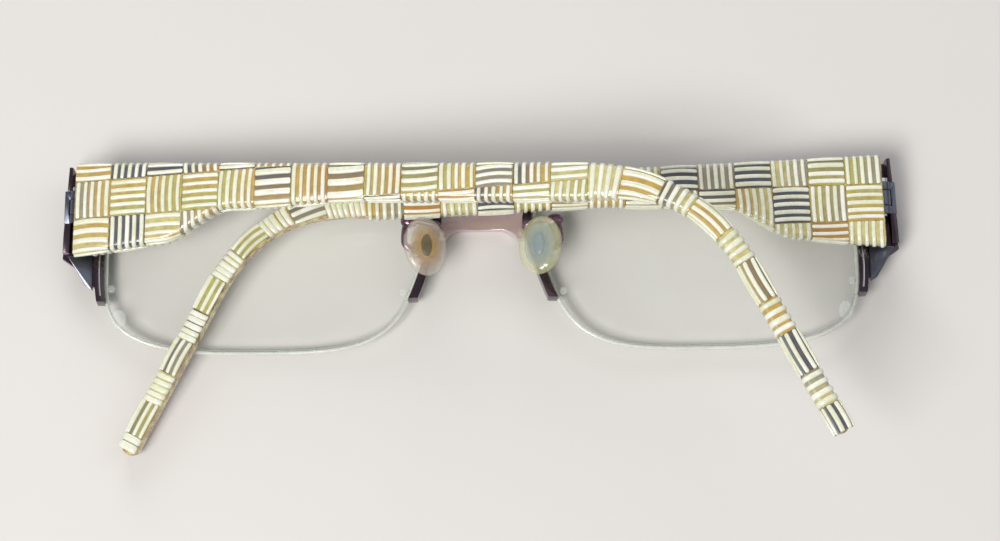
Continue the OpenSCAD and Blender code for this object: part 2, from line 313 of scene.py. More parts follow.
@dataclass(frozen=True)
class RibLacquer:
    """Cream lacquer on the raised ribs, each rib with its own shade."""

    name: str = "rib_lacquer"
    shade: str = "rib_shade"
    stained: Colour = (0.58, 0.54, 0.31)
    chalky: Colour = (0.78, 0.80, 0.80)

    def make(self) -> Material:
        """Builds the material.

        Returns:
            The material.
        """
        r = Recipe(self.name)
        own = r.node("Attribute", {"attribute_name": self.shade}, None, "Color")
        streak, stain = r.noise(420, 3), r.noise(1500, 2)
        warm = r.mix((streak * 1.6 - 0.6).clamped(), own, self.stained)
        return r.coated(r.mix((stain * 0.9 - 0.35).clamped(), warm, self.chalky),
                        stain * 0.16 + 0.18, 0.7, 0.06, r.bump(stain, 0.00004, 0.35))


@dataclass(frozen=True)
class GrooveLacquer:
    """Tinted lacquer in the grooves, coloured block by block, with random patches darkened as painted
    shade deep in the grooves.
    """

    name: str = "groove_lacquer"
    shade: str = "groove_shade"
    # Deep brown painted into the grooves as shade.
    soiled: Colour = (0.14, 0.10, 0.06)

    def make(self) -> Material:
        """Builds the material.

        Returns:
            The material.
        """
        r = Recipe(self.name)
        own = r.node("Attribute", {"attribute_name": self.shade}, None, "Color")
        groove_patches = r.noise(900, 4)
        # Painted shade: random patches of the grooves are darkened towards deep brown, standing for the
        # shade deep in the grooves.
        return r.coated(r.mix((groove_patches * 1.2 - 0.42).clamped(), own, self.soiled),
                        groove_patches * 0.3 + 0.2, 0.6, 0.1, r.bump(groove_patches, 0.00005, 0.5))


@dataclass(frozen=True)
class MottledLacquer:
    """Amber lacquer with brown mottling, on the body of the covering."""

    name: str = "mottled_lacquer"
    stops: tuple[tuple[float, Colour], ...] = (
        (0.36, (0.16, 0.085, 0.035)), (0.47, (0.45, 0.27, 0.07)),
        (0.56, (0.62, 0.50, 0.16)), (0.68, (0.72, 0.64, 0.38)))

    def make(self) -> Material:
        """Builds the material.

        Returns:
            The material.
        """
        r = Recipe(self.name)
        blot, fleck = r.noise(700, 5), r.noise(2600, 2)
        tone = r.node("ValToRGB", {"stops": self.stops}, {0: blot * 0.8 + fleck * 0.2}, "Color")
        return r.coated(tone, fleck * 0.2 + 0.16, 0.7, 0.07, r.bump(blot, 0.00008, 0.5))


@dataclass(frozen=True)
class ClearLens:
    """Coated clear lens: what lies behind shows through, under a faint greenish gloss."""

    name: str = "coated_lens"
    tint: Colour = (0.997, 1.0, 0.997)
    gloss: Colour = (0.80, 0.96, 0.84)

    def make(self) -> Material:
        """Builds the material.

        Returns:
            The material.
        """
        r = Recipe(self.name)
        smear = r.noise(90, 3, (1, 3, 1))
        through = r.node("BsdfTransparent", None, {"Color": (*self.tint, 1)})
        mirror = r.node("BsdfGlossy", None, {"Color": (*self.gloss, 1), "Roughness": 0.04})
        facing = Value(r, r.node("Fresnel", None, {"IOR": 1.45}))
        share = (facing * 0.32 + smear * 0.02 - 0.01).clamped()
        return r.done(r.node("MixShader", None, {0: share, 1: through, 2: mirror}))


@dataclass(frozen=True)
class Cloudy:
    """Translucent plastic, cloudier or clearer over the piece and, if asked, out from its middle."""

    name: str
    inner: Colour
    outer: Colour
    alpha: float = 0.6
    roughness: float = 0.2
    spread: str = ""
    fade: float = 0.0

    def make(self) -> Material:
        """Builds the material.

        Returns:
            The material.
        """
        r = Recipe(self.name)
        share = haze = r.noise(1100, 3)
        if self.spread:
            out = Value(r, r.node("Attribute", {"attribute_name": self.spread}, None, "Fac"))
            share = (out * 1.25 + haze * 0.5 - 0.38).clamped()
        alpha = (haze * 0.15 + (self.alpha - 0.07) - share * self.fade).clamped()
        return r.coated(r.mix(share, self.inner, self.outer), haze * 0.2 + (self.roughness - 0.1),
                        0.6, 0.05, r.bump(haze, 0.00006, 0.3),
                        {"Alpha": alpha, "Specular IOR Level": 0.8})


@dataclass(frozen=True)
class Tabletop:
    """Plain pale tabletop."""

    name: str = "pale_tabletop"
    base: Colour = (0.60, 0.575, 0.55)
    grain: Colour = (0.68, 0.66, 0.64)

    def make(self) -> Material:
        """Builds the material.

        Returns:
            The material.
        """
        r = Recipe(self.name)
        colour = r.mix(r.noise(30, 4) * 0.25, self.base, self.grain)
        return r.done(r.node("BsdfPrincipled", None, {"Base Color": colour, "Roughness": 0.62}))


def made(recipe: Any) -> Any:
    """A field that holds the material of a recipe."""
    return field(default_factory=recipe.make)


@dataclass
class Finishes:
    """Every material of the glasses, made once."""

    bridge: Material = made(Plating(
        "mauve_lacquer", (0.62, 0.48, 0.50), (0.74, 0.62, 0.64), 0.2, 0.7, 0.9, 700))
    plum: Material = made(Plating(
        "plum_plating", (0.030, 0.020, 0.028), (0.095, 0.060, 0.080), 0.18, 0.8, 0.25, 900))
    violet: Material = made(Plating(
        "violet_plating", (0.13, 0.06, 0.11), (0.26, 0.16, 0.24), 0.14, 0.7, 0.9, 900))
    steel: Material = made(Plating(
        "blue_grey_steel", (0.075, 0.085, 0.115), (0.16, 0.17, 0.21), 0.3, 0.9, 0.1, 1500))
    bright: Material = made(Plating(
        "bright_steel", (0.52, 0.51, 0.52), (0.68, 0.67, 0.68), 0.24, 1.0, 0.1, 1500))
    rib: Material = made(RibLacquer())
    groove: Material = made(GrooveLacquer())
    mottled: Material = made(MottledLacquer())
    lens: Material = made(ClearLens())
    lens_edge: Material = made(Cloudy(
        "frosted_lens_edge", (0.60, 0.66, 0.58), (0.80, 0.84, 0.77), 0.62, 0.3))
    nylon: Material = made(Cloudy("clear_nylon", (0.66, 0.68, 0.62), (0.84, 0.85, 0.80), 0.60, 0.2))
    amber_pad: Material = made(Cloudy(
        "amber_pad_plastic", (0.50, 0.34, 0.15), (0.62, 0.56, 0.48), 0.18, 0.18, "pad_reach", -0.14))
    amber_gel: Material = made(Cloudy(
        "amber_gel", (0.44, 0.21, 0.010), (0.52, 0.31, 0.08), 0.96, 0.3, "pad_reach", 0.8))
    green_pad: Material = made(Cloudy(
        "straw_pad_plastic", (0.46, 0.56, 0.56), (0.62, 0.61, 0.34), 0.18, 0.1, "pad_reach", -0.12))
    grey_gel: Material = made(Cloudy(
        "grey_gel", (0.15, 0.21, 0.27), (0.38, 0.43, 0.38), 0.90, 0.22, "pad_reach", 0.6))
    clear_bead: Material = made(Cloudy(
        "clear_bead", (0.70, 0.74, 0.68), (0.85, 0.87, 0.82), 0.14, 0.10))
    clear_facet: Material = made(Cloudy(
        "clear_facet", (0.70, 0.74, 0.68), (0.85, 0.87, 0.82), 0.18, 0.10))
    dark_core: Material = made(Plating(
        "dark_pad_core", (0.008, 0.016, 0.008), (0.030, 0.042, 0.020), 0.45, 0.1, 0.2, 2500))
    pale_core: Material = made(Plating(
        "blue_grey_pad_core", (0.11, 0.16, 0.20), (0.27, 0.32, 0.32), 0.45, 0.1, 0.2, 900))


# ---------------- mesh tools


class Bench:
    """Modelling steps that several pieces share."""

    @staticmethod
    def clear() -> None:
        """Leaves edit mode and deselects everything."""
        if bpy.context.object and bpy.context.object.mode != "OBJECT":
            bpy.ops.object.mode_set(mode="OBJECT")
        bpy.ops.object.select_all(action="DESELECT")

    @staticmethod
    def pick(piece: Piece) -> None:
        """Makes one object the selected and active one.

        Args:
            piece: The object.
        """
        Bench.clear()
        piece.select_set(True)
        bpy.context.view_layer.objects.active = piece

    @staticmethod
    def new(name: str, add: Any, **settings: Any) -> Piece:
        """Adds a primitive.

        Args:
            name: The new object's name.
            add: The operator that adds it.
            **settings: The operator's settings.

        Returns:
            The new object, selected.
        """
        Bench.clear()
        add(**settings)
        piece = bpy.context.object
        piece.name = piece.data.name = name
        return piece

    @staticmethod
    def added(name: str, data: Any) -> Piece:
        """Puts a mesh, a curve, a camera or a lamp into the scene as a new object.

        Args:
            name: The object's name.
            data: The mesh, curve, camera or lamp.

        Returns:
            The object.
        """
        piece = bpy.data.objects.new(name, data)
        bpy.context.scene.collection.objects.link(piece)
        return piece

    @staticmethod
    @contextmanager
    def editing(piece: Piece) -> Iterator[None]:
        """Holds one mesh in edit mode, with all of it selected, for a with block.

        Args:
            piece: The mesh.
        """
        Bench.pick(piece)
        bpy.ops.object.mode_set(mode="EDIT")
        bpy.ops.mesh.select_all(action="SELECT")
        yield
        bpy.ops.object.mode_set(mode="OBJECT")

    @staticmethod
    def stretched(name: str, at: Sequence[float], size: Sequence[float], add: Any,
                  **settings: Any) -> Piece:
        """Adds a primitive and stretches it about its middle.

        Args:
            name: The new object's name.
            at: Its middle in metres.
            size: Factor on each axis.
            add: The operator that adds it.
            **settings: The operator's settings.

        Returns:
            The new object.
        """
        piece = Bench.new(name, add, location=at, **settings)
        with Bench.editing(piece):
            bpy.ops.transform.resize(value=size, center_override=at)
        Bench.place(piece)
        return piece

    @staticmethod
    def points(piece: Piece) -> np.ndarray:
        """Reads the vertices of a mesh.

        Args:
            piece: The mesh.

        Returns:
            Rows of X, Y and Z.
        """
        co = np.zeros(len(piece.data.vertices) * 3)
        piece.data.vertices.foreach_get("co", co)
        return co.reshape(-1, 3)

    @staticmethod
    def move_points(piece: Piece, co: np.ndarray) -> None:
        """Puts the vertices of a mesh at new places."""
        piece.data.vertices.foreach_set("co", np.ascontiguousarray(co, np.float32).ravel())
        piece.data.update()

    @staticmethod
    def place(piece: Piece) -> None:
        """Moves an object's place, turn and size into its mesh."""
        Bench.pick(piece)
        bpy.ops.object.transform_apply(location=True, rotation=True, scale=True)

    @staticmethod
    def edit(piece: Piece, merge: float = 1e-6, dissolve: float | None = None,
             outwards: bool = True) -> None:
        """Cleans a mesh in edit mode.

        Args:
            piece: The mesh.
            merge: Distance in metres under which points are merged.
            dissolve: Angle in degrees under which faces are joined, or None.
            outwards: Whether the faces are turned outwards.
        """
        with Bench.editing(piece):
            bpy.ops.mesh.remove_doubles(threshold=merge)
            if dissolve is not None:
                bpy.ops.mesh.dissolve_limited(angle_limit=math.radians(dissolve))
            if outwards:
                bpy.ops.mesh.select_all(action="SELECT")
                bpy.ops.mesh.normals_make_consistent(inside=False)

    @staticmethod
    def modifier(piece: Piece, kind: str, **settings: Any) -> None:
        """Adds one modifier and applies it.

        Args:
            piece: The mesh.
            kind: The modifier's type.
            **settings: Its settings.
        """
        Bench.pick(piece)
        added = piece.modifiers.new(kind.lower(), kind)
        for key, value in settings.items():
            setattr(added, key, value)
        bpy.ops.object.modifier_apply(modifier=added.name)

    @staticmethod
    def smooth(piece: Piece, angle: float = 40.0) -> None:
        """Shades a mesh smooth across edges under an angle in degrees."""
        Bench.pick(piece)
        bpy.ops.object.shade_smooth_by_angle(angle=math.radians(angle))

    @staticmethod
    def softened(node: str, name: str, width: float, steps: int = 2,
                 angle: float = 32.0) -> Piece:
        """A copy of a CAD node whose sharp edges are rounded.

        Args:
            node: The CAD node.
            name: The new object's name.
            width: Width of the rounding in millimetres.
            steps: Segments of the rounding.
            angle: Least angle of the edges that are rounded, in degrees.

        Returns:
            The new object.
        """
        piece = Bench.added(name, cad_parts[node].data.copy())
        piece.data.name = name
        piece.data.materials.clear()
        Bench.edit(piece, 2e-6, 0.6, outwards=False)
        Bench.modifier(piece, "BEVEL", width=width * MM, segments=steps, limit_method="ANGLE",
                       angle_limit=math.radians(angle), use_clamp_overlap=True, profile=0.6)
        Bench.smooth(piece, 42)
        return piece

    @staticmethod
    def swept(name: str, route: Sequence[Sequence[float]], radius: float,
              sides: int = 5) -> Piece:
        """A round wire along points, as a closed mesh.

        Args:
            name: The new object's name.
            route: Points in millimetres.
            radius: The wire's radius in millimetres.
            sides: Resolution of the round section.

        Returns:
            The new object.
        """
        curve = bpy.data.curves.new(name, "CURVE")
        curve.dimensions = "3D"
        curve.bevel_depth = radius * MM
        curve.bevel_resolution = sides
        curve.use_fill_caps = True
        line = curve.splines.new("POLY")
        line.points.add(len(route) - 1)
        for point, place in zip(line.points, route):
            point.co = (*(c * MM for c in place), 1.0)
        Bench.pick(Bench.added(name, curve))
        bpy.ops.object.convert(target="MESH")
        piece = bpy.context.object
        Bench.edit(piece, 1e-7)
        Bench.smooth(piece, 60)
        return piece

    @staticmethod
    def two_finishes(piece: Piece, first: Material, second: Material,
                     takes_second: Callable[[Vector], bool]) -> None:
        """Gives a mesh two materials, chosen by the direction that a face looks in.

        Args:
            piece: The mesh.
            first: The material of most faces.
            second: The material of the others.
            takes_second: Tells from a face's normal whether it has the second material.
        """
        piece.data.materials.append(first)
        piece.data.materials.append(second)
        for face in piece.data.polygons:
            face.material_index = int(takes_second(face.normal))

    @staticmethod
    def joined(name: str, parts: Sequence[Piece]) -> Piece:
        """Joins objects into one.

        Args:
            name: The joined object's name.
            parts: The objects.

        Returns:
            The joined object.
        """
        Bench.clear()
        for part in parts:
            part.select_set(True)
        bpy.context.view_layer.objects.active = parts[0]
        bpy.ops.object.join()
        parts[0].name = parts[0].data.name = name
        return parts[0]

    @staticmethod
    def dress(piece: Piece, finish: Material, body: str, slot: str,
              replaces: Sequence[str] = ()) -> None:
        """Gives a finished piece its material and body, and hides the CAD nodes that it stands for.

        Args:
            piece: The object.
            finish: Its material.
            body: The CAD body that it rides on.
            slot: Not used.
            replaces: CAD nodes that it stands for.
        """
        if not piece.data.materials:
            piece.data.materials.append(finish)
        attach(piece, body)
        if replaces:
            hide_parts(*replaces)
        LOG.info("%s: %d faces on %s", piece.name, len(piece.data.polygons), body)


def ease(t: np.ndarray) -> np.ndarray:
    """Smooth step from 0 to 1."""
    c = np.clip(t, 0, 1)
    return c * c * (3 - 2 * c)


# ---------------- lenses and rims


@dataclass(frozen=True)
class LensShape:
    """Outline and depth of a lens, as in the CAD model."""

    width: float = 50.4
    height: float = 27.0
    gap: float = 20.0
    drop: float = 9.6
    base_r: float = 140.0
    thickness: float = 2.0
    nasal_power: float = 4.0
    temporal_power: float = 3.4
    nasal_slope: float = 0.36
    tail: float = 5.4

    def outline(self, angle: np.ndarray) -> np.ndarray:
        """Points of the right lens's outline about its centre.

        Args:
            angle: Angles in radians.

        Returns:
            Rows of X and Y in millimetres.
        """
        a, b = self.width / 2, self.height / 2
        f = np.arctan2(b * np.sin(angle), a * np.cos(angle))
        power = np.where(np.cos(f) < 0, self.nasal_power, self.temporal_power)
        r = ((np.abs(np.cos(f)) / a) ** power + (np.abs(np.sin(f)) / b) ** power) ** (-1 / power)
        x, y = r * np.cos(f), r * np.sin(f)
        return np.stack([np.where(x < 0, x + self.nasal_slope * y * x / a, x), y], 1)

    def grown(self, angle: np.ndarray, grow: float) -> np.ndarray:
        """The outline moved outwards by a distance.

        Args:
            angle: Angles in radians.
            grow: The distance in millimetres.

        Returns:
            Rows of X and Y in millimetres.
        """
        step = 0.01
        along = self.outline(angle + step) - self.outline(angle - step)
        out = np.stack([along[:, 1], -along[:, 0]], 1)
        return self.outline(angle) + grow * out / np.linalg.norm(out, axis=1)[:, None]

    def depth(self, xy: np.ndarray, under: float) -> np.ndarray:
        """Height above the table of the surface that lies a distance behind the front one."""
        return self.base_r - np.sqrt((self.base_r - under) ** 2 - (xy ** 2).sum(1))

    def to_frame(self, side: Side, xy: np.ndarray, z: np.ndarray) -> np.ndarray:
        """Points about a lens centre, as points of the glasses."""
        centre = (self.gap + self.width) / 2
        return np.stack([side.value * (centre + xy[:, 0]), xy[:, 1] - self.drop, z], 1)


@dataclass
class LensUnit:
    """One lens with its brow rim, nylon cord and the beads that end the cord."""

    side: Side
    finishes: Finishes
    shape: LensShape = LensShape()
    cord_r: float = 0.31
    cord_points: int = 90
    bead_r: float = 0.62
    bead_size: Triple = (1.0, 1.12, 0.5)
    facet_size: Triple = (1.15, 1.55, 1.0)
    facet_in: tuple[float, float] = (2.35, 5.3)
    facet_depth: float = 0.16
    # Painted highlight: the path and radius of a thin bright steel wire laid down the rim's temporal
    # tail, where its edge catches the light.
    tail_line: tuple[Triple, ...] = ((61.2, -7.2, 4.88), (61.25, -10.6, 4.87), (61.15, -12.7, 4.87),
                                    (61.0, -14.1, 4.86))
    tail_line_r: float = 0.17

    def build(self) -> None:
        """Makes all pieces of the unit."""
        self.lens()
        self.rim()
        self.cord()
        self.beads()
        self.corner_facet()

    def lens(self) -> None:
        """The lens, with a frosted edge between two small chamfers."""
        w = self.side.word
        piece = Bench.softened(f"lens_{w}", f"polished_lens_{w}", 0.14, 2, 50)
        Bench.two_finishes(piece, self.finishes.lens, self.finishes.lens_edge,
                           lambda normal: abs(normal.z) < 0.75)
        Bench.dress(piece, self.finishes.lens, "front", "lens", [f"lens_{w}"])

    def rim(self) -> None:
        """The brow rim with rounded edges, and a painted highlight down its temporal tail: a thin wire
        of bright steel where the tail's edge catches the light.
        """
        w, s = self.side.word, self.side.value
        rim = Bench.softened(f"half_rim_{w}", f"brow_rim_{w}", 0.3, 3)
        Bench.dress(rim, self.finishes.plum, "front", "frame_metal", [f"half_rim_{w}"])
        # Painted highlight along the temporal tail, drawn as a thin wire of bright steel.
        line = Bench.swept(f"bright_tail_line_{w}", [(s * x, y, z) for x, y, z in self.tail_line],
                           self.tail_line_r, 4)
        Bench.dress(line, self.finishes.bright, "front", "frame_metal")

    def cord_route(self) -> np.ndarray:
        """The cord's middle line round the lower edge of the lens.

        Returns:
            Rows of X, Y and Z in millimetres.
        """
        sunk, clear, steps = 0.02, 0.03, 1440
        angle = np.linspace(math.pi * 0.5, math.pi * 2.5, steps + 1)
        xy = self.shape.grown(angle, -sunk)
        low = xy[xy[:, 1] < -self.shape.tail - clear]
        pick = np.linspace(0, len(low) - 1, self.cord_points).astype(int)
        low = low[pick]
        return self.shape.to_frame(self.side, low, self.shape.depth(low, self.shape.thickness / 2))

    def cord(self) -> None:
        """The nylon cord in the lens's groove."""
        w = self.side.word
        piece = Bench.swept(f"lens_cord_{w}", self.cord_route().tolist(), self.cord_r, 4)
        Bench.dress(piece, self.finishes.nylon, "front", "nylon", [f"nylon_cord_{w}"])

    def beads(self) -> None:
        """Melted ends of the cord, one beside each tail of the rim."""
        w = self.side.word
        low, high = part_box(f"cord_anchors_{w}")
        middle = (low.x + high.x) / 2
        node = Bench.points(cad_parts[f"cord_anchors_{w}"])
        parts = []
        for number, part in enumerate((node[node[:, 0] < middle], node[node[:, 0] > middle])):
            parts.append(Bench.stretched(
                f"bead_{w}_{number}", (part.min(0) + part.max(0)) / 2, self.bead_size,
                bpy.ops.mesh.primitive_uv_sphere_add, segments=24, ring_count=14,
                radius=self.bead_r * MM))
        piece = Bench.joined(f"cord_beads_{w}", parts)
        Bench.smooth(piece, 60)
        Bench.dress(piece, self.finishes.clear_bead, "front", "nylon", [f"cord_anchors_{w}"])

    def corner_facet(self) -> None:
        """A shallow clear facet in the lens's lower temporal corner."""
        xy = np.array([[self.shape.width / 2 - self.facet_in[0],
                        -self.shape.height / 2 + self.facet_in[1]]])
        at = self.shape.to_frame(self.side, xy, self.shape.depth(xy, self.shape.thickness))[0] * MM
        piece = Bench.stretched(f"corner_facet_{self.side.word}", at, self.facet_size,
                                bpy.ops.mesh.primitive_cylinder_add, vertices=40, radius=MM,
                                depth=self.facet_depth * MM)
        Bench.modifier(piece, "BEVEL", width=0.07 * MM, segments=3)
        Bench.smooth(piece)
        Bench.dress(piece, self.finishes.clear_facet, "front", "lens")


# ---------------- front and hinges


@dataclass
class FrontMetal:
    """The bridge and, on each side, the endpiece, the hinge parts and the pad hardware."""

    finishes: Finishes
    gusset_base: float = 3.9
    gusset_plan: tuple[Triple, ...] = ((62.3, -6.8, 0.35), (62.3, -13.0, 0.25), (63.4, -12.3, 0.3),
                                      (66.2, -7.6, 1.5))

    def build(self) -> None:
        """Makes all pieces."""
        f = self.finishes
        bridge = Bench.softened("bridge", "bow_bridge", 0.22, 3)
        Bench.dress(bridge, f.bridge, "front", "bridge_metal", ["bridge"])
        for side in Side:
            w = side.word
            rows = [("endpiece", "folded_endpiece", 0.1, f.plum, "front", "frame_metal"),
                    ("hinge_front_leaf", "front_leaf", 0.09, f.steel, "front", "hinge_steel"),
                    ("hinge_screw", "hinge_pin", 0.07, f.bright, "front", "hinge_steel"),
                    ("hinge_temple_leaf", "temple_leaf", 0.09, f.steel, f"{w}_temple", "hinge_steel"),
                    ("pad_box", "pad_cradle", 0.1, f.bright, "front", "pad_metal"),
                    ("pad_screw", "cradle_screw", 0.07, f.bright, "front", "pad_metal")]
            self.gusset(side)
            for node, name, width, finish, body, slot in rows:
                piece = Bench.softened(f"{node}_{w}", f"{name}_{w}", width)
                Bench.dress(piece, finish, body, slot, [f"{node}_{w}"])

    def gusset(self, side: Side) -> None:
        """The two facets folded into the endpiece's lower corner.

        Args:
            side: The endpiece's side.
        """
        w, corners = side.word, np.array(self.gusset_plan)
        piece = Bench.new(f"endpiece_facets_{w}", bpy.ops.mesh.primitive_cube_add, size=2)
        co = Bench.points(piece)
        right, upper = co[:, 0] > 0, co[:, 1] > 0
        x, y, rise = corners[np.select([~right & upper, ~right, right & ~upper], [0, 1, 2], 3)].T
        z = self.gusset_base + np.where(co[:, 2] > 0, rise, 0.0)
        Bench.move_points(piece, np.stack([side.value * x, y, z], 1) * MM)
        Bench.modifier(piece, "TRIANGULATE", quad_method="FIXED")
        Bench.modifier(piece, "BEVEL", width=0.06 * MM, segments=2)
        Bench.edit(piece, 1e-8)
        Bench.smooth(piece, 20)
        Bench.two_finishes(piece, self.finishes.plum, self.finishes.steel,
                           lambda normal: normal.z > 0.9)
        Bench.dress(piece, self.finishes.plum, "front", "frame_metal")


# ---------------- nose pads


@dataclass
class NosePad:
    """A nose pad with its core, and the wire arm that carries its cradle."""

    side: Side
    finishes: Finishes
    width: float = 7.2
    length: float = 9.6
    across: float = 9.8
    drop: float = 7.6
    height: float = 6.9
    tilt: float = 22.0
    back: float = 1.0
    thickness: float = 2.0
    crown_share: float = 0.62
    crown_power: float = 0.8
    under_power: float = 0.35
    skew: float = 0.35
    core_size: Triple = (0.9, 1.85, 0.4)
    core_up: float = 1.35
    tab_size: Triple = (0.44, 1.08, 1.0)
    tab_up: float = 0.32
    gel_size: Triple = (2.6, 3.7, 0.4)
    gel_up: float = 0.95
    foot: tuple[float, float] = (7.4, -3.2)
    foot_rise: float = 0.5
    knee: Triple = (11.7, -2.6, 5.8)
    elbow: Triple = (12.5, -6.2, 6.7)
    arm_end: Triple = (1.38, 0.0, -1.0)
    arm_r: float = 0.52
    solder_shift: Triple = (0.1, 0.0, 0.3)
    solder_size: Triple = (0.9, 0.8, 0.4)
    ball_size: Triple = (1.35, 1.1, 0.8)

    def matrix(self) -> Matrix:
        """Where the pad stands on the glasses.

        Returns:
            A matrix from the pad's frame, in millimetres, to the glasses' frame, in metres.
        """
        place = Matrix.Translation((self.across, -self.drop, self.height))
        turn = Matrix.Rotation(math.radians(-self.tilt), 4, "Y")
        mirror = Matrix.Diagonal((self.side.value, 1, 1, 1))
        return Matrix.Scale(MM, 4) @ mirror @ place @ turn

    def build(self) -> None:
        """Makes the pad, its core, the stained gel round the core, and the arm."""
        self.pad()
        self.core()
        self.gel()
        self.arm()

    def pad(self) -> None:
        """The soft oval pad: crowned in front, nearly flat behind."""
        w = self.side.word
        piece, co = self.ball(f"soft_pad_{w}", 56, 28)
        crown = self.thickness * self.crown_share
        under = self.thickness - crown
        up = np.abs(co[:, 2])
        z = np.where(co[:, 2] > 0, crown * up ** self.crown_power, -under * up ** self.under_power)
        z = z + self.back + under
        y = co[:, 1] * self.length / 2
        self.settle(piece, np.stack([co[:, 0] * self.width / 2 + self.skew * y / self.length, y, z], 1))
        self.spread(piece, co)
        finish = self.finishes.amber_pad if self.side is Side.LEFT else self.finishes.green_pad
        Bench.dress(piece, finish, f"{w}_pad", "pad_plastic", [f"nose_pad_{w}"])

    def core(self) -> None:
        """The core inside the pad, with the tab that the cradle holds."""
        w = self.side.word
        oblong, co = self.ball(f"oblong_{w}", 36, 18)
        self.settle(oblong, co * self.core_size + (0, 0, self.back + self.core_up))
        tab = Bench.new(f"tab_{w}", bpy.ops.mesh.primitive_cube_add, size=2)
        Bench.modifier(tab, "BEVEL", width=0.35, segments=3, limit_method="NONE")
        self.settle(tab, Bench.points(tab) * self.tab_size + (0, 0, self.tab_up))
        piece = Bench.joined(f"pad_core_{w}", [oblong, tab])
        Bench.edit(piece, 1e-7)
        Bench.smooth(piece, 50)
        finish = self.finishes.dark_core if self.side is Side.LEFT else self.finishes.pale_core
        Bench.dress(piece, finish, f"{w}_pad", "pad_insert", [f"pad_insert_{w}"])

    def gel(self) -> None:
        """The stained gel round the core, which fades outwards."""
        w = self.side.word
        piece, co = self.ball(f"stained_gel_{w}", 48, 20)
        self.settle(piece, co * self.gel_size + (0, 0, self.back + self.gel_up))
        self.spread(piece, co)
        finish = self.finishes.amber_gel if self.side is Side.LEFT else self.finishes.grey_gel
        Bench.dress(piece, finish, f"{w}_pad", "pad_plastic")

    def ball(self, name: str, segments: int, rings: int) -> tuple[Piece, np.ndarray]:
        """Adds a ball of radius 1.

        Args:
            name: The ball's name.
            segments: Its segments round its axis.
            rings: Its rings from pole to pole.

        Returns:
            The ball and its points.
        """
        piece = Bench.new(name, bpy.ops.mesh.primitive_uv_sphere_add, segments=segments,
                          ring_count=rings, radius=1)
        return piece, Bench.points(piece)

    def spread(self, piece: Piece, co: np.ndarray) -> None:
        """Cleans a piece made from a ball and keeps how far its points lie from its middle.

        Args:
            piece: The piece.
            co: The ball's points before they were shaped.
        """
        reach = piece.data.attributes.new("pad_reach", "FLOAT", "POINT")
        reach.data.foreach_set("value", np.hypot(co[:, 0], co[:, 1]).astype(np.float32))
        Bench.edit(piece, 1e-7)
        Bench.smooth(piece, 60)

    def settle(self, piece: Piece, shaped: np.ndarray) -> None:
        """Puts points given in the pad's frame into the glasses' frame."""
        m = np.array(self.matrix())
        Bench.move_points(piece, shaped @ m[:3, :3].T + m[:3, 3])

    def arm_route(self) -> tuple[list[Vector], list[Triple]]:
        """The arm's middle line in millimetres.

        Returns:
            The arm's stops from foot to cradle, and the points of the curve through them.
        """
        s = self.side.value
        node = Bench.points(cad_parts[f"pad_arm_{self.side.word}"]) / MM
        foot = Vector((s * self.foot[0], self.foot[1], node[:, 2].min()))
        knee, elbow = (Vector((s * x, y, z)) for x, y, z in (self.knee, self.elbow))
        stops = [foot, foot + Vector((0, 0, self.foot_rise)), knee, elbow,
                 self.matrix() @ Vector(self.arm_end) / MM]
        route, steps = [], 12
        for i, (a, b) in enumerate(zip(stops, stops[1:])):
            before, after = stops[max(i - 1, 0)], stops[min(i + 2, len(stops) - 1)]
            for t in np.linspace(0, 1, steps + 1)[int(i > 0):]:
                route.append(tuple(0.5 * (2 * a + (b - before) * t
                                          + (2 * before - 5 * a + 4 * b - after) * t * t
                                          + (3 * a - before - 3 * b + after) * t ** 3)))
        return stops, route

    def arm(self) -> None:
        """The wire arm with a solder bead at its foot and a ball at its knee."""
        w = self.side.word
        stops, route = self.arm_route()
        x, y, z = self.solder_shift
        parts = [Bench.swept(f"pad_wire_{w}", route, self.arm_r, 5)]
        solder = stops[0] + Vector((self.side.value * x, y, z))
        for name, at, size in (("solder", solder, self.solder_size), ("ball", stops[2], self.ball_size)):
            parts.append(Bench.stretched(f"{name}_{w}", at * MM, size,
                                         bpy.ops.mesh.primitive_uv_sphere_add, segments=32,
                                         ring_count=18, radius=MM))
        piece = Bench.joined(f"bent_pad_arm_{w}", parts)
        Bench.smooth(piece, 60)
        Bench.dress(piece, self.finishes.violet, "front", "frame_metal", [f"pad_arm_{w}"])


# ---------------- temples


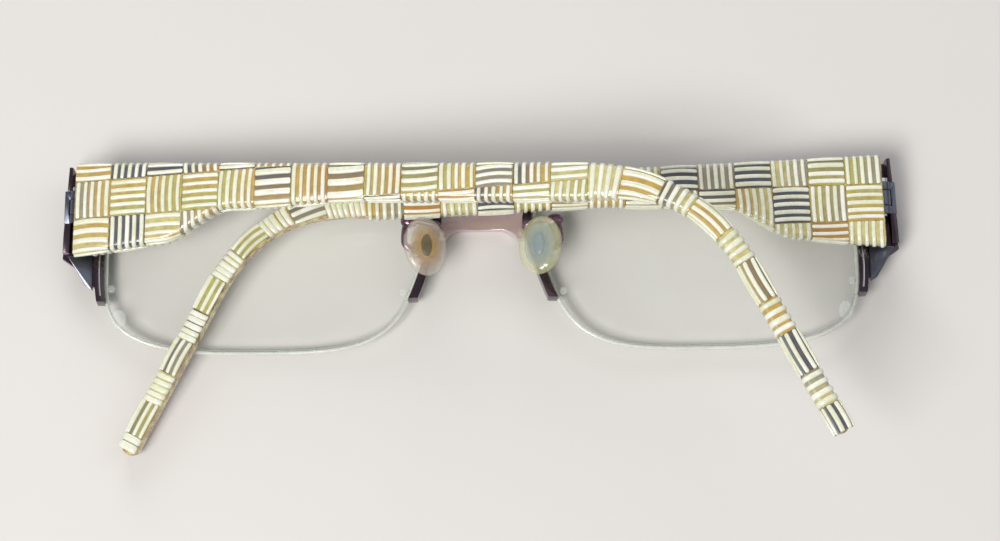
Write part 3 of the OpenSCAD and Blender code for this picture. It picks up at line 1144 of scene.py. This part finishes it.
@dataclass(frozen=True)
class TempleShape:
    """Line and section of a temple in its hinge's frame, as in the CAD model."""

    straight: float = 82.5
    bend_r: float = 31.0
    bend_deg: float = 59.0
    ear_len: float = 29.2
    ear_w: float = 3.4
    top: float = 6.7
    start: float = 0.25
    inner: float = -0.6
    thickness: float = 3.6
    end_h: float = 14.9
    arm_h: float = 5.8
    arm_extra: float = 1.2
    end_taper: float = 0.16
    end_l: float = 14.0
    neck_l: float = 12.0
    arm_even: float = 48.0
    ear_blend: float = 22.0
    ear_early: float = 2.0
    corner: float = 0.8
    twist_deg: float = 11.0
    twist_len: float = 20.0

    @property
    def bend_len(self) -> float:
        """Length of the upper edge round the bend."""
        return self.bend_r * math.radians(self.bend_deg)

    @property
    def length(self) -> float:
        """Length of the upper edge."""
        return self.straight + self.bend_len + self.ear_len

    def height(self, s: np.ndarray) -> np.ndarray:
        """Height of the temple at a distance along it.

        Args:
            s: Distances along the temple.

        Returns:
            Heights in millimetres.
        """
        s = np.asarray(s, float)
        broad = self.end_h - self.end_taper * s
        neck_top = self.end_h - self.end_taper * self.end_l
        neck_end = self.end_l + self.neck_l
        arm_top = self.arm_h + self.arm_extra
        neck = neck_top + (arm_top - neck_top) * ease((s - self.end_l) / self.neck_l)
        arm = arm_top - self.arm_extra * ease((s - neck_end) / (self.arm_even - neck_end))
        ear = self.arm_h + (self.ear_w - self.arm_h) * ease((s - self.straight + self.ear_early)
                                                           / self.ear_blend)
        return np.select([s < self.end_l, s < neck_end, s < self.arm_even], [broad, neck, arm], ear)

    def surface(self, s: np.ndarray, d: np.ndarray, lift: np.ndarray | float,
                shrink: np.ndarray | float = 1.0) -> np.ndarray:
        """Points on the covering.

        Args:
            s: Distances along the temple.
            d: Distances round it: 0 is the outer face's upper corner, and d grows down that face.
            lift: Heights above the covering's surface.
            shrink: Size of the section, where it closes at an end.

        Returns:
            Rows of X, Y and Z in the hinge's frame, in millimetres.
        """
        s, d = np.broadcast_arrays(np.asarray(s, float), np.asarray(d, float))
        h, t = self.height(s), self.thickness
        over, past = np.clip(-d, 0, t), np.clip(d - h, 0, t)
        v = np.clip(d, 0, h) + np.clip(-d - t, 0, None) - np.clip(d - h - t, 0, None)
        z = t - over - past
        c = np.minimum(self.corner, h / 2 - 0.1)
        cv, cz = np.clip(v, c, h - c), np.clip(z, c, t - c)
        nv, nz = v - cv, z - cz
        size = np.maximum(np.hypot(nv, nz), 1e-9)
        v = cv + nv / size * (c + lift)
        z = cz + nz / size * (c + lift)
        v, z = (v - h / 2) * shrink, (z - t / 2) * shrink
        turn = math.radians(self.twist_deg) * ease((s - self.straight) / self.twist_len)
        v, z = (h / 2 + v * np.cos(turn) - z * np.sin(turn),
                t / 2 + z * np.cos(turn) + v * np.sin(turn))
        a = np.clip((s - self.straight) / self.bend_len, 0, 1) * math.radians(self.bend_deg)
        past = np.clip(s - self.straight - self.bend_len, 0, None)
        x = np.minimum(s, self.straight) + self.bend_r * np.sin(a) + past * np.cos(a) - v * np.sin(a)
        y = self.top - self.bend_r * (1 - np.cos(a)) - past * np.sin(a) - v * np.cos(a)
        return np.stack([x, y, self.inner + z], -1)


@dataclass(frozen=True)
class WeaveCell:
    """One block of the weave: where it lies, which way its ribs run and its colours."""

    s0: float
    s1: float
    d0: float
    d1: float
    slope: float
    run: Run
    tints: tuple[Colour, Colour]
    ribs: int
    fill: float
    crown: float
    rise: float = 1.0


@dataclass(frozen=True)
class EarWeave:
    """How the ear piece is woven: lengthwise strands between groups of wraps."""

    tip_run: Run
    tip_len: float
    bare: float
    strand_len: float
    wrap_len: float
    wrap_pitch: float
    wrap_fill: float
    strands: int
    strand_wrap: float
    side_wrap: float
    wrap_rise: float
    strand_tints: tuple[Tint, ...]
    strand_over: float = 1.3
    strand_fill: float = 0.58
    wrap_over: float = 1.9
    crown: float = 0.10
    least: float = 2.5


LEFT_EAR = EarWeave(Run.ALONG, 4.6, 0.1, 6.9, 5.7, 1.3, 0.62, 5, 2.0, 2.6, 0.8,
                    (Tint.SLATE, Tint.OCHRE, Tint.OLIVE))
RIGHT_EAR = EarWeave(Run.ACROSS, 2.6, 0.45, 6.0, 5.1, 1.05, 0.88, 4, 0.0, 0.25, 0.35,
                     (Tint.SLATE, Tint.SLATE, Tint.OLIVE, Tint.ASH))


@dataclass
class Temple:
    """One temple: the body of its covering, the tinted beds of the weave and the ribs."""

    side: Side
    finishes: Finishes
    rest: float
    first_row: float
    row_slope: float
    phase: int
    end_tints: dict[tuple[int, int], tuple[Tint, Tint]]
    seed: int
    ear: EarWeave
    shape: TempleShape = TempleShape()
    hinge: Triple = (64.5, 0.0, 7.0)
    panto: float = 9.5
    lean: float = 2.6
    pitch: float = 5.9
    ear_from: float = 86.0
    sunk: float = 0.30
    bed_top: float = -0.14
    rib_top: float = 0.12
    block_ribs: int = 5
    block_fill: float = 0.54
    block_crown: float = 0.05
    seam: float = 0.06
    end_gap: float = 0.1
    rib_gap: float = 0.05
    dull: Colour = (0.63, 0.66, 0.47)
    pale: Colour = (0.78, 0.77, 0.68)

    def matrix(self) -> np.ndarray:
        """Where the temple lies at rest.

        Returns:
            A matrix from the hinge's frame, in millimetres, to the glasses' frame, in metres.
        """
        x, y, z = self.hinge
        m = (Matrix.Scale(MM, 4) @ Matrix.Diagonal((-self.side.value, 1, 1, 1))
             @ Matrix.Translation((-x, y, z)) @ Matrix.Rotation(math.radians(-self.lean), 4, "Z")
             @ Matrix.Rotation(math.radians(self.panto), 4, "X")
             @ Matrix.Rotation(math.radians(-self.rest), 4, "Y"))
        return np.array(m)

    def settle(self, piece: Piece, co: np.ndarray) -> None:
        """Puts points given in the hinge's frame into the glasses' frame."""
        m = self.matrix()
        Bench.move_points(piece, co.reshape(-1, 3) @ m[:3, :3].T + m[:3, 3])

    def build(self) -> None:
        """Makes all pieces of the temple."""
        w, f = self.side.word, self.finishes
        rng = random.Random(self.seed)
        cells = self.cells(rng)
        self.body()
        bed, rib = self.bed_pattern(), self.rib_pattern()
        beds = [self.bed(bed, cell) for cell in cells]
        ribs = [made for cell in cells for made in self.ribs(rib, cell, rng)]
        for pattern in (bed, rib):
            bpy.data.objects.remove(pattern)
        for name, parts, finish in (("beds", beds, f.groove), ("ribs", ribs, f.rib)):
            Bench.dress(self.woven(f"weave_{name}_{w}", parts), finish, f"{w}_temple",
                        "temple_covering")

    def woven(self, name: str, parts: list[Piece]) -> Piece:
        """Joins the copies of one pattern and turns their faces outwards.

        Args:
            name: The joined piece's name.
            parts: The copies.

        Returns:
            The joined piece.
        """
        piece = Bench.joined(name, parts)
        Bench.edit(piece, 1e-8)
        Bench.smooth(piece, 50)
        return piece

    def body(self) -> None:
        """The covering's smooth body under the weave, cut out round the hinge barrels."""
        w, shape = self.side.word, self.shape
        tip_r, around, spacing, bend_steps = 1.5, 64, 0.8, 60
        tip = np.linspace(0, math.pi / 2, 8)
        at_tip = shape.length - tip_r
        s = np.concatenate([
            np.full(3, shape.start), shape.start + np.array([0.1, 0.35, 0.8]),
            np.arange(2 * spacing, shape.straight, spacing),
            np.linspace(shape.straight, at_tip, bend_steps)[:-1],
            at_tip + tip_r * np.sin(tip)])
        # The section closes at the hinge end and rounds off at the tip.
        shrink = np.ones(len(s))
        shrink[:5] = [0.0, 0.5, 0.9, 0.95, 0.985]
        shrink[-len(tip):] = np.cos(tip)
        piece = Bench.new(f"covering_body_{w}", bpy.ops.mesh.primitive_grid_add,
                          x_subdivisions=len(s) - 1, y_subdivisions=around, size=2)
        co = Bench.points(piece)
        i = np.rint((co[:, 0] + 1) / 2 * (len(s) - 1)).astype(int)
        h = shape.height(s[i])
        d = -(shape.thickness + h / 2) + (co[:, 1] + 1) * (shape.thickness + h)
        self.settle(piece, shape.surface(s[i], d, -self.sunk, shrink[i]))
        Bench.edit(piece, 2e-6)
        self.cut_barrel(piece)
        Bench.smooth(piece, 50)
        Bench.dress(piece, self.finishes.mottled, f"{w}_temple", "temple_covering",
                    [f"temple_covering_{w}"])

    def cut_barrel(self, piece: Piece) -> None:
        """Cuts the room for the hinge barrels out of the covering's body.

        Args:
            piece: The covering's body.
        """
        room_r, low, high = 1.5, -3.1, 3.4
        cutter = Bench.new("barrel_room", bpy.ops.mesh.primitive_cylinder_add, vertices=64,
                           radius=room_r, depth=high - low)
        co = Bench.points(cutter)
        turned = np.stack([co[:, 0], co[:, 2] + (high + low) / 2, -co[:, 1]], 1)
        self.settle(cutter, turned)
        Bench.edit(cutter, 1e-7)
        Bench.modifier(piece, "BOOLEAN", operation="DIFFERENCE", solver="EXACT", object=cutter)
        bpy.data.objects.remove(cutter)

    def cells(self, rng: random.Random) -> list[WeaveCell]:
        """The blocks of the weave, from the hinge to the tip.

        Args:
            rng: The source of the blocks' colours.

        Returns:
            The blocks.
        """
        shape = self.shape
        first = shape.start + self.end_gap
        columns = int((self.ear_from - shape.start) / self.pitch)
        rows = 4
        found = []
        for i in range(columns):
            s0 = first + i * self.pitch
            s1 = s0 + self.pitch
            middle = (s0 + s1) / 2
            h = float(shape.height(middle))
            reach = shape.thickness + h / 2
            drift = self.row_slope * middle
            for k in range(-rows, rows + 1):
                d0, d1 = (self.past_edges(self.first_row + self.pitch * row + drift, h) - drift
                          for row in (k - 1, k))
                if not -reach <= (d0 + d1) / 2 + drift <= h + reach:
                    continue
                run = Run.ALONG if (i + k + self.phase) % 2 == 0 else Run.ACROSS
                found.append(WeaveCell(s0, s1, d0, d1, self.row_slope, run,
                                       self.tints(rng, i, k, run), self.block_ribs,
                                       self.block_fill, self.block_crown))
        return found + self.ear_cells(rng, first + columns * self.pitch)

    def ear_cells(self, rng: random.Random, start: float) -> list[WeaveCell]:
        """The blocks of the ear piece, laid out from the tip back.

        Args:
            rng: The source of the blocks' colours.
            start: Where the ear piece's blocks begin.

        Returns:
            The blocks.
        """
        ear = self.ear
        found = []
        s1, run, size = self.shape.length - ear.bare, ear.tip_run, ear.tip_len
        while s1 > start + 0.01:
            s0 = s1 - size if s1 - size > start + ear.least else start
            h = float(self.shape.height((s0 + s1) / 2))
            tints = self.tints(rng, -1, 0, run)
            if run is Run.ALONG:
                tints = (rng.choice(ear.strand_tints).value, rng.choice(ear.strand_tints).value)
                found.append(WeaveCell(s0, s1, -ear.strand_over, h + ear.strand_wrap, 0.0, run, tints,
                                       ear.strands, ear.strand_fill, ear.crown))
                run, size = Run.ACROSS, ear.wrap_len
            else:
                wraps = max(2, round((s1 - s0) / ear.wrap_pitch))
                found.append(WeaveCell(s0, s1, -ear.wrap_over, h + ear.side_wrap, 0.0, run, tints,
                                       wraps, ear.wrap_fill, ear.crown, ear.wrap_rise))
                run, size = Run.ALONG, ear.strand_len
            s1 = s0
        return found

    def past_edges(self, d: float, h: float) -> float:
        """A row's boundary, moved round the corner where it would lie at an edge of the face.

        Args:
            d: The boundary's distance round the temple.
            h: The temple's height there.

        Returns:
            The distance at which the boundary is put.
        """
        near, round_corner = 0.4, 1.9
        if h - near < d < h + round_corner:
            return h + round_corner
        if -round_corner < d < near:
            return -round_corner
        return d

    def tints(self, rng: random.Random, i: int, k: int, run: Run) -> tuple[Colour, Colour]:
        """Colours of a block's grooves at its two ends.

        Args:
            rng: The source of colours that aren't given.
            i: The block's column.
            k: The block's row.
            run: Which way its ribs run.

        Returns:
            The two colours.
        """
        along = (Tint.SLATE, Tint.SLATE, Tint.OCHRE, Tint.OLIVE, Tint.AMBER)
        across = (Tint.OCHRE, Tint.OLIVE, Tint.STRAW, Tint.ASH, Tint.SLATE)
        choice = along if run is Run.ALONG else across
        first, second = rng.choice(choice), rng.choice((Tint.OCHRE, Tint.OLIVE, Tint.STRAW))
        plain_share = 0.6
        if rng.random() < plain_share:
            second = first
        first, second = self.end_tints.get((i, k), (first, second))
        return first.value, second.value

    def copied(self, pattern: Piece, co: np.ndarray, name: str,
               colour: np.ndarray) -> Piece:
        """A copy of a pattern with its own mesh, points and point colours.

        Args:
            pattern: The pattern.
            co: The copy's points in the hinge's frame.
            name: The colours' attribute.
            colour: A colour for each point.

        Returns:
            The copy.
        """
        piece = Bench.added(pattern.name, pattern.data.copy())
        self.settle(piece, co)
        shade = piece.data.attributes.new(name, "FLOAT_COLOR", "POINT")
        shade.data.foreach_set("color", np.c_[colour, np.ones(len(colour))].astype(np.float32).ravel())
        return piece

    def held(self, s: np.ndarray, d: np.ndarray) -> np.ndarray:
        """Distances round the temple, held within the inner face's middle.

        Args:
            s: Distances along the temple.
            d: Distances round it.

        Returns:
            The held distances.
        """
        h = self.shape.height(s)
        reach = self.shape.thickness + h / 2 - 0.05
        return np.clip(d, -reach, h + reach)

    def bed_pattern(self) -> Piece:
        """A block cut into small squares, from which the beds are shaped.

        Returns:
            The pattern.
        """
        pattern = Bench.new("bed", bpy.ops.mesh.primitive_cube_add, size=2)
        with Bench.editing(pattern):
            bpy.ops.mesh.subdivide(number_cuts=10)
        return pattern

    def bed(self, pattern: Piece, cell: WeaveCell) -> Piece:
        """The thin tinted bed under one block's ribs.

        Args:
            pattern: The block cut into small squares.
            cell: The block of the weave.

        Returns:
            The bed.
        """
        co = Bench.points(pattern)
        u, v = (co[:, 0] + 1) / 2, (co[:, 1] + 1) / 2
        s = cell.s0 + self.seam + u * (cell.s1 - cell.s0 - 2 * self.seam)
        d = cell.d0 + self.seam + v * (cell.d1 - cell.d0 - 2 * self.seam) + cell.slope * s
        deep = -self.sunk - 0.1
        lift = deep + (co[:, 2] + 1) / 2 * (self.bed_top - deep)
        share = ease(v if cell.run is Run.ALONG else u)[:, None]
        colour = np.array(cell.tints[0]) * (1 - share) + np.array(cell.tints[1]) * share
        points = self.shape.surface(s, self.held(s, d), lift)
        return self.copied(pattern, points, "groove_shade", colour)

    def rib_pattern(self) -> Piece:
        """One rib of unit size: a bar with rounded long edges and ends, cut along its length.

        Returns:
            The pattern.
        """
        stretch, rounding, last_cut, cuts = 7.0, 0.55, 0.72, 7
        pattern = Bench.new("rib", bpy.ops.mesh.primitive_cube_add, size=2)
        with Bench.editing(pattern):
            bpy.ops.transform.resize(value=(stretch, 1, 1), center_override=(0, 0, 0))
        Bench.modifier(pattern, "BEVEL", width=rounding, segments=2, limit_method="NONE",
                       use_clamp_overlap=True)
        with Bench.editing(pattern):
            bpy.ops.transform.resize(value=(1 / stretch, 1, 1), center_override=(0, 0, 0))
        for at in np.linspace(-last_cut, last_cut, cuts):
            with Bench.editing(pattern):
                bpy.ops.mesh.bisect(plane_co=(at, 0, 0), plane_no=(1, 0, 0))
        return pattern

    def ribs(self, pattern: Piece, cell: WeaveCell, rng: random.Random) -> list:
        """The ribs of one block.

        Args:
            pattern: The rib of unit size.
            cell: The block.
            rng: The source of small differences between ribs.

        Returns:
            The new objects.
        """
        swell, wander, uneven, most_bow = 0.10, 0.06, 0.12, 0.25
        made = []
        co = Bench.points(pattern)
        u = (co[:, 0] + 1) / 2
        arch = 4 * u * (1 - u)
        span = cell.d1 - cell.d0 if cell.run is Run.ALONG else cell.s1 - cell.s0
        step = span / cell.ribs
        bow = rng.uniform(-most_bow, most_bow)
        top = cell.rise * (self.rib_top + swell * arch)
        lift = (co[:, 2] + 1) / 2 * (top + self.sunk) - self.sunk - cell.crown * co[:, 1] ** 2
        for number in range(cell.ribs):
            middle = (number + 0.5) * step + rng.uniform(-wander, wander)
            half = step * cell.fill / 2 * rng.uniform(1 - uneven, 1 + uneven)
            offset = middle + co[:, 1] * half + bow * arch
            if cell.run is Run.ALONG:
                s = cell.s0 + self.rib_gap + u * (cell.s1 - cell.s0 - 2 * self.rib_gap)
                d = cell.d0 + offset + cell.slope * s
            else:
                s = cell.s0 + offset
                d = cell.d0 + self.rib_gap + u * (cell.d1 - cell.d0 - 2 * self.rib_gap) + cell.slope * s
            if self.in_barrel_room(s, d):
                continue
            tone = rng.random()
            colour = np.array(self.dull) * (1 - tone) + np.array(self.pale) * tone
            points = self.shape.surface(s, self.held(s, d), lift)
            made.append(self.copied(pattern, points, "rib_shade", np.tile(colour, (len(co), 1))))
        return made

    def in_barrel_room(self, s: np.ndarray, d: np.ndarray) -> bool:
        """Whether a rib would lie on the inner face in front of the hinge barrels.

        Args:
            s: The rib's distances along the temple.
            d: Its distances round it.

        Returns:
            True where the rib has to be left out.
        """
        barrel_reach, round_edge = 2.2, 0.4
        past = self.shape.thickness - round_edge
        inner = np.any((d < -past) | (d > self.shape.height(s) + past))
        return bool(inner and s.min() < barrel_reach)


# ---------------- studio


@dataclass(frozen=True)
class Studio:
    """Camera, lights and the pale tabletop."""

    lens_mm: float = 106.6068
    camera_at: Triple = (-9.43, -146.02, 459.1)
    camera_deg: Triple = (16.612, -1.213, -1.091)
    floor_size: float = 3.0

    def build(self) -> None:
        """Makes the whole set."""
        self.camera()
        self.tabletop()
        self.light("key", (-0.32, -0.42, 0.75), 0.36, 8.0, (1.0, 0.985, 0.96))
        self.light("fill", (0.55, 0.15, 0.7), 0.8, 1.4, (0.95, 0.98, 1.0))
        self.light("rear", (-0.1, 0.75, 0.45), 0.5, 2.4, (1.0, 1.0, 1.0))
        bpy.context.scene.view_settings.view_transform = "Standard"
        world = bpy.data.worlds.new("studio_air")
        bpy.context.scene.world = world
        world.use_nodes = True
        sky = world.node_tree.nodes["Background"]
        sky.inputs["Color"].default_value = (0.93, 0.95, 1.0, 1)
        sky.inputs["Strength"].default_value = 0.32

    def camera(self) -> None:
        """The camera at the viewing angle."""
        data = bpy.data.cameras.new("camera")
        data.sensor_width, data.lens = 36.0, self.lens_mm
        data.clip_start, data.clip_end = 0.01, 20.0
        camera = Bench.added("camera", data)
        camera.location = [c * MM for c in self.camera_at]
        camera.rotation_euler = [math.radians(a) for a in self.camera_deg]
        bpy.context.scene.camera = camera

    def tabletop(self) -> None:
        """The plain surface under the glasses."""
        low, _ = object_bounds()
        piece = Bench.new("tabletop", bpy.ops.mesh.primitive_plane_add, size=self.floor_size,
                          location=(0, 0, min(0.0, low.z) - 0.00005))
        Bench.place(piece)
        piece.data.materials.append(Tabletop().make())
        piece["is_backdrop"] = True

    def light(self, name: str, at: Sequence[float], size: float, power: float,
              colour: Colour) -> None:
        """Adds one soft lamp that points at the glasses.

        Args:
            name: The lamp's name.
            at: Its place in metres.
            size: Its side in metres.
            power: Its power in watts.
            colour: Its colour.
        """
        data = bpy.data.lights.new(name, "AREA")
        data.size, data.energy, data.color = size, power, colour
        lamp = Bench.added(name, data)
        lamp.location = at
        lamp.rotation_euler = (-Vector(at)).to_track_quat("-Z", "Y").to_euler()


LEFT_TINTS = {
    (0, 0): (Tint.AMBER, Tint.OCHRE), (0, 1): (Tint.ASH, Tint.OCHRE), (0, 2): (Tint.OCHRE, Tint.STRAW),
    (1, 0): (Tint.SLATE, Tint.SLATE), (1, 1): (Tint.OCHRE, Tint.OLIVE), (1, 2): (Tint.SLATE, Tint.SLATE),
    (2, 0): (Tint.SLATE, Tint.SLATE), (2, 1): (Tint.OCHRE, Tint.OLIVE), (2, 2): (Tint.STRAW, Tint.OCHRE),
    (3, 0): (Tint.SLATE, Tint.AMBER), (3, 1): (Tint.OCHRE, Tint.OLIVE), (4, 0): (Tint.SLATE, Tint.SLATE),
    (4, 1): (Tint.OLIVE, Tint.OCHRE), (5, 1): (Tint.SLATE, Tint.OCHRE), (6, 1): (Tint.OCHRE, Tint.AMBER),
    (7, 1): (Tint.SLATE, Tint.OCHRE), (8, 1): (Tint.OLIVE, Tint.AMBER), (9, 1): (Tint.SLATE, Tint.OLIVE),
    (10, 1): (Tint.OLIVE, Tint.OCHRE), (11, 1): (Tint.SLATE, Tint.ASH),
}
RIGHT_TINTS = {
    (0, 0): (Tint.ASH, Tint.OLIVE), (0, 1): (Tint.OLIVE, Tint.OCHRE), (0, 2): (Tint.STRAW, Tint.STRAW),
    (1, 0): (Tint.SLATE, Tint.OLIVE), (1, 1): (Tint.ASH, Tint.OLIVE), (1, 2): (Tint.AMBER, Tint.AMBER),
    (2, 0): (Tint.ASH, Tint.STRAW), (2, 1): (Tint.SLATE, Tint.SLATE), (2, 2): (Tint.STRAW, Tint.STRAW),
    (3, 0): (Tint.SLATE, Tint.SLATE), (3, 1): (Tint.STRAW, Tint.OCHRE),
}


def dress_kept_nodes(finishes: Finishes) -> None:
    """Gives the CAD nodes that stay their materials.

    Args:
        finishes: The materials.
    """
    for side in Side:
        w = side.word
        for node, finish in ((f"rim_liner_{w}", finishes.nylon), (f"temple_core_{w}", finishes.bright)):
            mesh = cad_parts[node].data
            mesh.materials.clear()
            mesh.materials.append(finish)
            LOG.info("%s keeps its CAD shape", node)


def main() -> None:
    """Builds the glasses and the set."""
    logging.basicConfig(level=logging.INFO, format="%(name)s: %(message)s")
    Studio().build()
    finishes = Finishes()
    FrontMetal(finishes).build()
    for side in Side:
        LensUnit(side, finishes).build()
        NosePad(side, finishes).build()
    Temple(Side.LEFT, finishes, 12.0, 3.1, -0.078, 0, LEFT_TINTS, 11, LEFT_EAR).build()
    Temple(Side.RIGHT, finishes, 0.0, 4.7, -0.02, 1, RIGHT_TINTS, 23, RIGHT_EAR).build()
    dress_kept_nodes(finishes)


if __name__ == "__main__":
    main()
